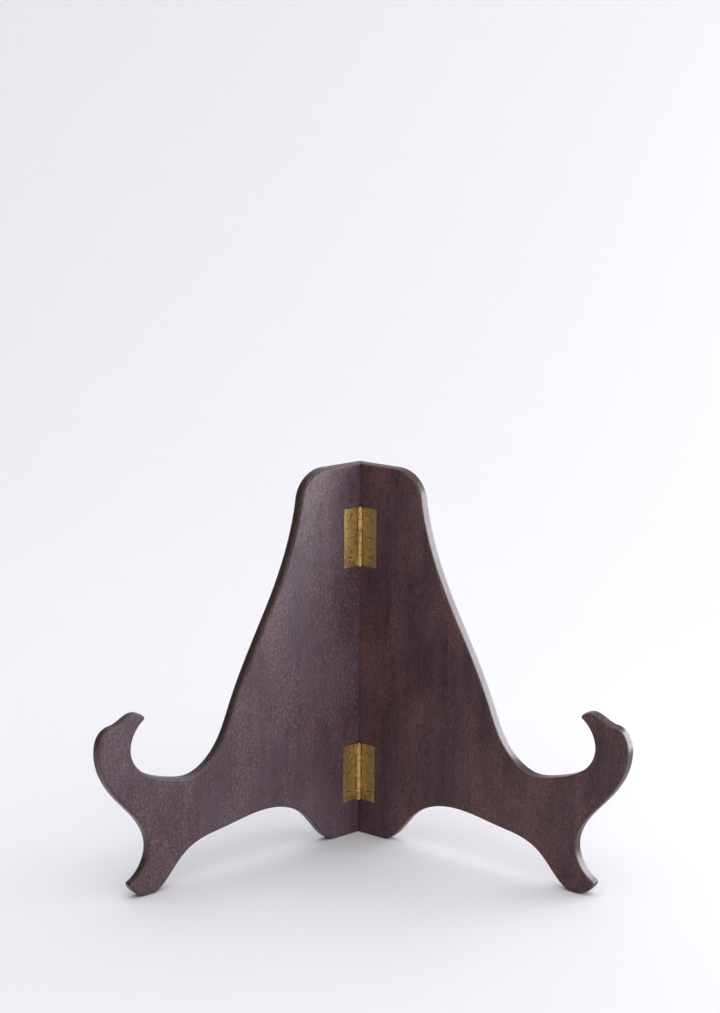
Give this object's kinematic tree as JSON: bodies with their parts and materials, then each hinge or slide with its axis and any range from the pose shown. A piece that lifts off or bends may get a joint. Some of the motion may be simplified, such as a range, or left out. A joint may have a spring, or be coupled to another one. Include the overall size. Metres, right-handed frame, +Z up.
{
  "type": "plate display stand",
  "caption": "Folding wooden plate display stand: two fretted boards with hooked front feet, hinged like a book at the back on brass butt hinges.",
  "frame": {"origin": "on the floor, at the middle of the stand's outline seen from above", "axes": "+Z up, -Y towards the viewer and the plate's front, +X to the viewer's right; the pins stand on the +Y side"},
  "size_m": [0.3186, 0.1304, 0.245],
  "materials": {
    "dark_hardwood": "dark stained, close grained hardwood, satin faces and glossier edges",
    "aged_brass": "solid brass, lightly tarnished"
  },
  "bodies": {
    "left_side": {"left_board": "dark_hardwood", "lower_hinge_pin": "aged_brass", "lower_left_bottom_screw": "aged_brass", "lower_left_leaf": "aged_brass", "lower_left_middle_screw": "aged_brass", "lower_left_top_screw": "aged_brass", "upper_hinge_pin": "aged_brass", "upper_left_bottom_screw": "aged_brass", "upper_left_leaf": "aged_brass", "upper_left_middle_screw": "aged_brass", "upper_left_top_screw": "aged_brass"},
    "right_side": {"lower_right_bottom_screw": "aged_brass", "lower_right_leaf": "aged_brass", "lower_right_middle_screw": "aged_brass", "lower_right_top_screw": "aged_brass", "right_board": "dark_hardwood", "upper_right_bottom_screw": "aged_brass", "upper_right_leaf": "aged_brass", "upper_right_middle_screw": "aged_brass", "upper_right_top_screw": "aged_brass"}
  },
  "joints": [
    {"name": "fold", "type": "hinge", "parent": "left_side", "child": "right_side", "pos_m": [0, 0.05536, 0.12], "axis": [0, 0, -1], "range_deg": [0, 104]}
  ]
}
